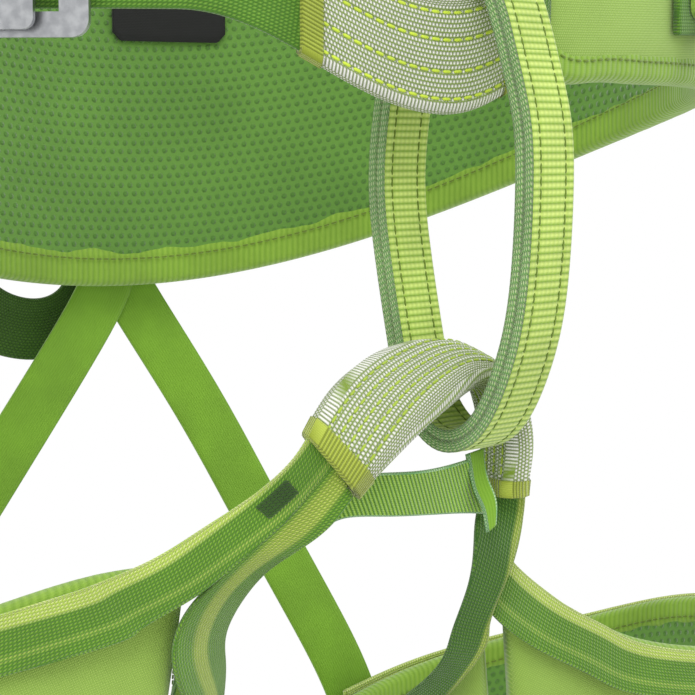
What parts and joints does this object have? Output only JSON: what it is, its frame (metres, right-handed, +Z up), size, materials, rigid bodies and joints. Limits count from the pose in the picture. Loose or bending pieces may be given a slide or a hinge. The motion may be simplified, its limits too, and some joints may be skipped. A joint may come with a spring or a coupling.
{
  "type": "climbing harness",
  "caption": "Sport climbing harness with a padded waist belt, a belay loop, a leg tie-in bridge, padded leg loops and gear loops.",
  "frame": {"origin": "centre of the waist opening, between the belt's left and right sides and its front and back", "axes": "+Z up; the wearer faces -Y, so +X is the wearer's left"},
  "size_m": [0.3709, 0.2439, 0.3261],
  "materials": {
    "belay_webbing": "woven webbing",
    "binding_tape": "ribbed tape",
    "buckle_metal": "satin",
    "cross_webbing": "twill tape",
    "elastic_strap": "flat elastic",
    "end_binding": "ribbed tape",
    "foam": "closed-cell foam",
    "gear_tube": "smooth moulded",
    "green_webbing": "twill webbing",
    "label": "smooth patch",
    "mesh_lining": "perforated knit",
    "shell_fabric": "ripstop weave",
    "sleeve_webbing": "two-tone woven sleeve"
  },
  "bodies": {
    "waist": {"belt_binding_bottom": "binding_tape", "belt_binding_top": "binding_tape", "belt_foam": "foam", "belt_lining": "mesh_lining", "belt_shell": "shell_fabric", "bridge_end_bindings": "end_binding", "bridge_sleeve": "sleeve_webbing", "bridge_webbing": "green_webbing", "buckle_frame": "buckle_metal", "cross_strap": "cross_webbing", "front_left_gear_loop_tab_1": "green_webbing", "front_left_gear_loop_tab_2": "green_webbing", "front_right_gear_loop_tab_1": "green_webbing", "front_right_gear_loop_tab_2": "green_webbing", "label_patch": "label", "left_riser": "elastic_strap", "rear_left_gear_loop_tab_1": "green_webbing", "rear_left_gear_loop_tab_2": "green_webbing", "rear_right_gear_loop_tab_1": "green_webbing", "rear_right_gear_loop_tab_2": "green_webbing", "right_riser": "elastic_strap", "strap_keeper": "green_webbing", "strap_tail": "green_webbing", "tie_in_end_bindings": "end_binding", "tie_in_sleeve": "sleeve_webbing", "tie_in_webbing": "green_webbing", "waist_webbing": "green_webbing"},
    "belay_loop": {"belay_loop_outer": "belay_webbing", "belay_loop_inner": "belay_webbing"},
    "right_leg": {"right_leg_band_bottom": "green_webbing", "right_leg_band_front": "green_webbing", "right_leg_band_inner": "green_webbing", "right_leg_binding_bottom": "binding_tape", "right_leg_binding_top": "binding_tape", "right_leg_foam": "foam", "right_leg_lining": "mesh_lining", "right_leg_shell": "shell_fabric"},
    "left_leg": {"left_leg_band_bottom": "green_webbing", "left_leg_band_front": "green_webbing", "left_leg_band_inner": "green_webbing", "left_leg_binding_bottom": "binding_tape", "left_leg_binding_top": "binding_tape", "left_leg_foam": "foam", "left_leg_lining": "mesh_lining", "left_leg_shell": "shell_fabric"},
    "front_left_gear": {"front_left_gear_loop": "gear_tube"},
    "rear_left_gear": {"rear_left_gear_loop": "gear_tube"},
    "front_right_gear": {"front_right_gear_loop": "gear_tube"},
    "rear_right_gear": {"rear_right_gear_loop": "gear_tube"},
    "haul": {"haul_loop": "green_webbing"},
    "slider": {"buckle_slider": "buckle_metal"}
  },
  "joints": [
    {"name": "belay_loop_swivel", "type": "hinge", "parent": "waist", "child": "belay_loop", "pos_m": [0, -0.104, -0.06], "axis": [0, 0, 1], "range_deg": [-6, 6]},
    {"name": "right_leg_swing", "type": "hinge", "parent": "waist", "child": "right_leg", "pos_m": [-0.049, -0.1124, -0.1274], "axis": [1, 0, 0], "range_deg": [-8, 25], "stiffness_Nm_per_rad": 0.5, "springref_deg": 11.46, "deforming": ["right_riser"]},
    {"name": "left_leg_swing", "type": "hinge", "parent": "waist", "child": "left_leg", "pos_m": [0.016, -0.097, -0.144], "axis": [1, 0, 0], "range_deg": [-8, 25], "stiffness_Nm_per_rad": 0.5, "springref_deg": 11.46, "deforming": ["left_riser"]},
    {"name": "front_left_gear_swing", "type": "hinge", "parent": "waist", "child": "front_left_gear", "pos_m": [0.11432, -0.05727, -0.0165], "axis": [-0.6722, -0.7402, -0.0135], "range_deg": [0, 35]},
    {"name": "rear_left_gear_swing", "type": "hinge", "parent": "waist", "child": "rear_left_gear", "pos_m": [0.11088, 0.06669, -0.01132], "axis": [0.7201, -0.6605, 0.2127], "range_deg": [0, 35]},
    {"name": "front_right_gear_swing", "type": "hinge", "parent": "waist", "child": "front_right_gear", "pos_m": [-0.14256, 0.00833, -0.02017], "axis": [0.1045, 0.9844, -0.1413], "range_deg": [0, 35]},
    {"name": "rear_right_gear_swing", "type": "hinge", "parent": "waist", "child": "rear_right_gear", "pos_m": [-0.10525, 0.0729, -0.01312], "axis": [0.765, 0.6093, -0.2086], "range_deg": [0, 35]},
    {"name": "haul_loop_swing", "type": "hinge", "parent": "waist", "child": "haul", "pos_m": [-0.029, 0.109, -0.085], "axis": [0.9888, 0.1121, -0.0989], "range_deg": [0, 90]},
    {"name": "buckle_slider_slide", "type": "slide", "parent": "waist", "child": "slider", "axis": [0.8208, -0.5712, 0], "range_m": [0, 0.003]}
  ]
}
